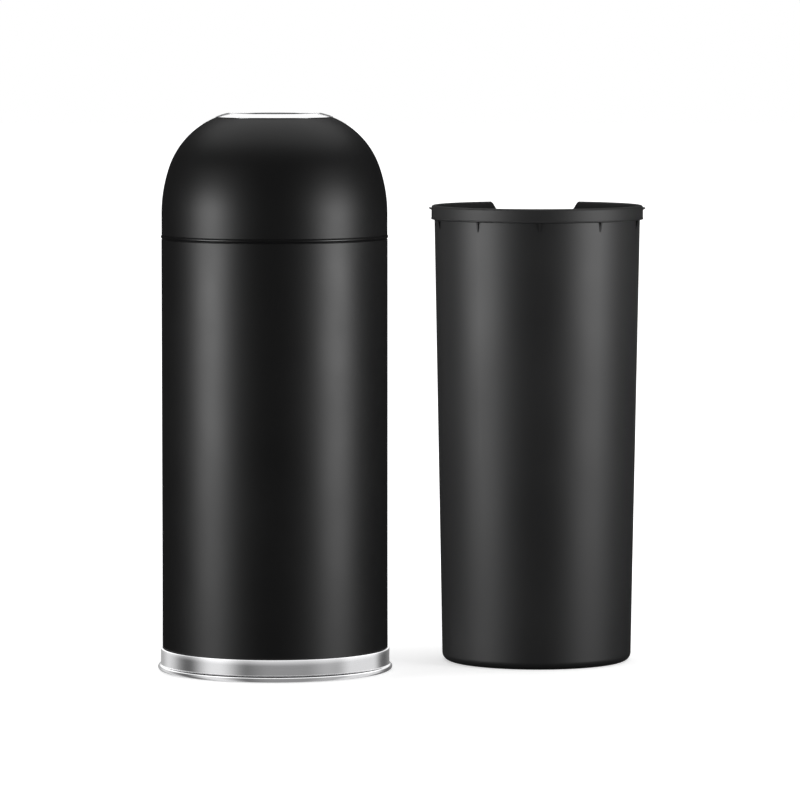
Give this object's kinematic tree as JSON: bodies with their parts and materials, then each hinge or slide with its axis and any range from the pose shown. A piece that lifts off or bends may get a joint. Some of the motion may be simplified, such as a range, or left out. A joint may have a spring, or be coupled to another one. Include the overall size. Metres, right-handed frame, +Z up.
{
  "type": "waste bin",
  "caption": "Round open-top waste bin: a black steel can with a lift-off dome, a steel opening ring and base ring, and a plastic inner bucket that stands beside it.",
  "frame": {"origin": "on the floor at the can's vertical axis; the four rubber feet and the bucket's foot ring stand on z = 0", "axes": "+Z up along the can's axis, +X to the right towards the bucket, -Y towards the viewer"},
  "size_m": [0.6531, 0.41, 0.7408],
  "materials": {
    "black_coat": "satin black powder coat on sheet steel",
    "bright_steel": "bright rolled stainless steel, finely brushed round the ring",
    "foot_rubber": "matt black moulded rubber",
    "zinc_steel": "zinc-plated steel",
    "bucket_plastic": "satin black moulded polypropylene"
  },
  "bodies": {
    "can": {"can_wall": "black_coat", "bottom_plate": "black_coat", "base_ring": "bright_steel", "foot_1": "foot_rubber", "foot_2": "foot_rubber", "foot_3": "foot_rubber", "foot_4": "foot_rubber", "foot_screws": "zinc_steel", "foot_nuts": "zinc_steel"},
    "lid": {"dome": "black_coat", "dome_collar": "black_coat", "opening_ring": "bright_steel"},
    "bucket": {"inner_bucket": "bucket_plastic"}
  },
  "joints": [
    {"name": "dome_lift", "type": "slide", "parent": "can", "child": "lid", "axis": [0, 0, 1], "range_m": [0, 0.25]},
    {"name": "bucket_lift", "type": "slide", "parent": "can", "child": "bucket", "axis": [0, 0, 1], "range_m": [0, 0.6]}
  ]
}
